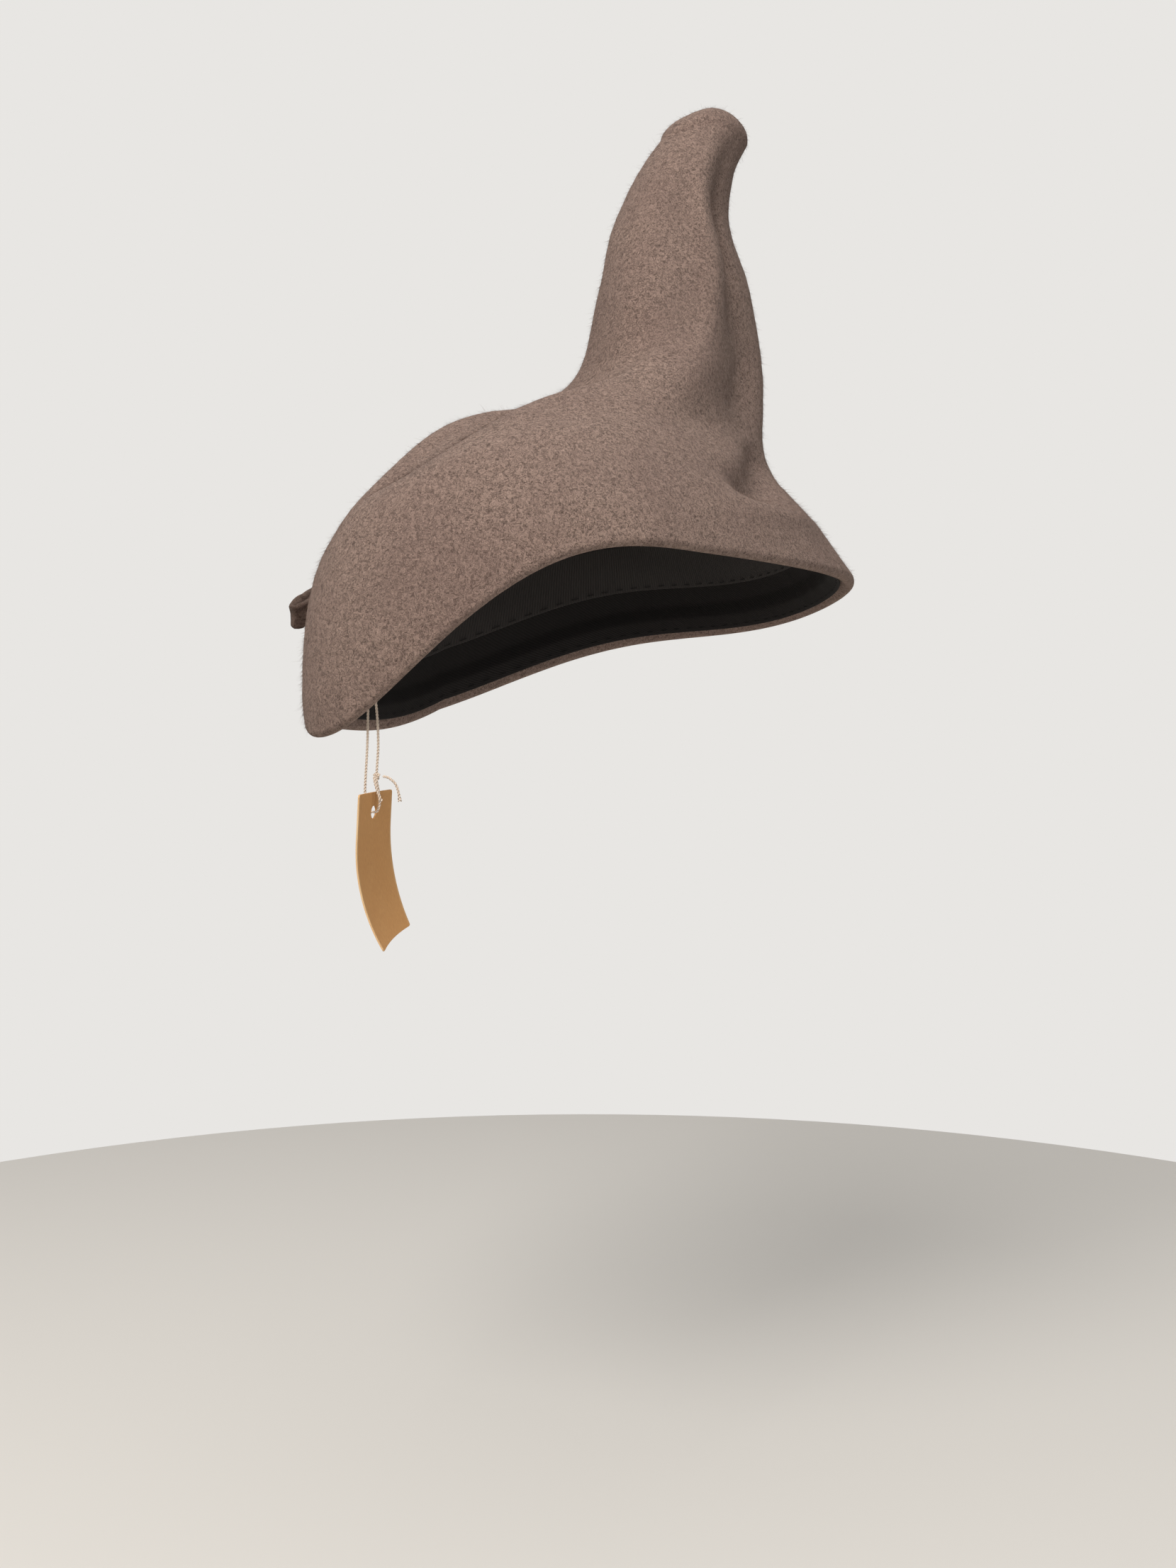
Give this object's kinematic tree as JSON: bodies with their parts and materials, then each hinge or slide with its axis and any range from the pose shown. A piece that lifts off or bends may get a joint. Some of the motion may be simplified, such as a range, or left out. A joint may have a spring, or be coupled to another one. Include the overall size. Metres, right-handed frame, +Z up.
{
  "type": "felt hat",
  "caption": "Sculpted wool felt hat with one tall curved blunt peak, a swept-back crown, a small side bow and a card tag hanging on thread inside the back.",
  "frame": {"origin": "centre of the head-size opening, where a head holds the hat", "axes": "+Z up, -Y to the wearer's front, -X to the wearer's right"},
  "size_m": [0.1726, 0.2743, 0.3665],
  "materials": {
    "felt": "napped",
    "wire": "drawn",
    "facing": "matt",
    "ribbon": "ribbed",
    "lining": "satin weave",
    "trim": "napped",
    "thread": "twisted cotton",
    "card": "uncoated"
  },
  "bodies": {
    "hat": {"felt_hood": "felt", "rim_wire": "wire", "wire_joiner": "wire", "rim_facing": "facing", "sweatband": "ribbon", "crown_lining": "lining", "lining_tip": "lining", "trim_loop_rear": "trim", "trim_loop_front": "trim", "trim_knot": "trim", "trim_tail_rear": "trim", "trim_tail_front": "trim", "thread_anchor": "thread"},
    "thread": {"thread_loop": "thread", "thread_knot": "thread", "thread_tail_short": "thread", "thread_tail_long": "thread"},
    "tag": {"tag": "card"}
  },
  "joints": [
    {"name": "thread_swing", "type": "hinge", "parent": "hat", "child": "thread", "pos_m": [-0.01467, 0.118, -0.01842], "axis": [-0.3091, 0.951, 0], "range_deg": [-20, 20]},
    {"name": "tag_turn", "type": "hinge", "parent": "thread", "child": "tag", "pos_m": [-0.01235, 0.11474, -0.07042], "axis": [-0.8144, -0.5803, 0], "range_deg": [-40, 40]}
  ]
}
